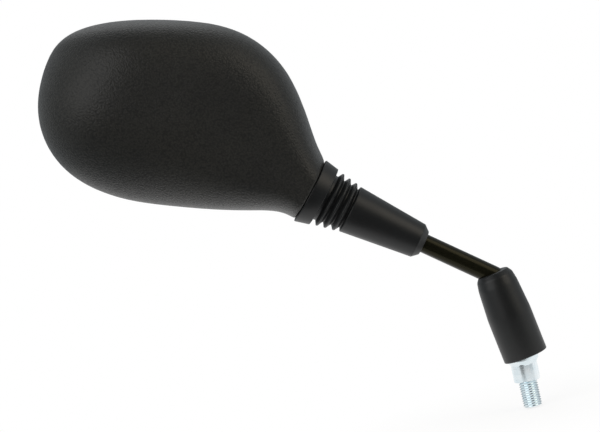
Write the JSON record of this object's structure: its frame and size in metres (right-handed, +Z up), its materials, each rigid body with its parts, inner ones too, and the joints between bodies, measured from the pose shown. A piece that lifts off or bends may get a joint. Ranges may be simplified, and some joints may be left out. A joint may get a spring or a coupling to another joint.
{
  "type": "motorcycle mirror",
  "caption": "Right-hand motorcycle mirror: a rounded black housing on a ball joint, with a ribbed rubber boot, a bent steel stem, a rubber cap and a threaded stud.",
  "frame": {"origin": "centre of the hex's seat face, where the stud leaves it", "axes": "+Z up the stud's axis, +Y out of the mirror glass, +X across the back of the housing, away from the head"},
  "size_m": [0.2317, 0.0401, 0.244],
  "materials": {
    "zinc_steel": "bright zinc plating",
    "black_steel": "gloss black paint",
    "rubber": "matte moulded rubber",
    "acetal": "plain moulded acetal",
    "grained_plastic": "fine leather grain",
    "spring_steel": "oiled spring steel",
    "plain_plastic": "plain moulded",
    "foam": "closed-cell foam with adhesive",
    "mirror": "silvered convex glass"
  },
  "bodies": {
    "base": {"stud_adaptor": "zinc_steel"},
    "stem": {"stem": "black_steel", "lock_nut": "zinc_steel", "lower_boot": "rubber"},
    "boot": {"upper_boot": "rubber"},
    "seat": {"ball_liner": "acetal"},
    "head": {"housing": "grained_plastic", "pressure_cup": "acetal", "disc_springs": "spring_steel", "clamp_plate": "spring_steel", "clamp_screws": "spring_steel", "glass_carrier": "plain_plastic", "glass_pad": "foam", "mirror_glass": "mirror"}
  },
  "joints": [
    {"name": "stem_swivel", "type": "hinge", "parent": "base", "child": "stem", "pos_m": [0, 0, 0], "axis": [0, 0, 1], "range_deg": [-45, 45]},
    {"name": "head_roll", "type": "hinge", "parent": "stem", "child": "boot", "pos_m": [-0.08672, 0, 0.12062], "axis": [-0.7912, 0, 0.6115], "continuous": true},
    {"name": "head_pan", "type": "hinge", "parent": "boot", "child": "seat", "pos_m": [-0.08672, 0, 0.12062], "axis": [0.6115, 0, 0.7912], "range_deg": [-15, 15], "deforming": ["upper_boot"]},
    {"name": "head_level", "type": "hinge", "parent": "seat", "child": "head", "pos_m": [-0.08672, 0, 0.12062], "axis": [0, 1, 0], "range_deg": [-15, 15], "deforming": ["upper_boot"]}
  ]
}
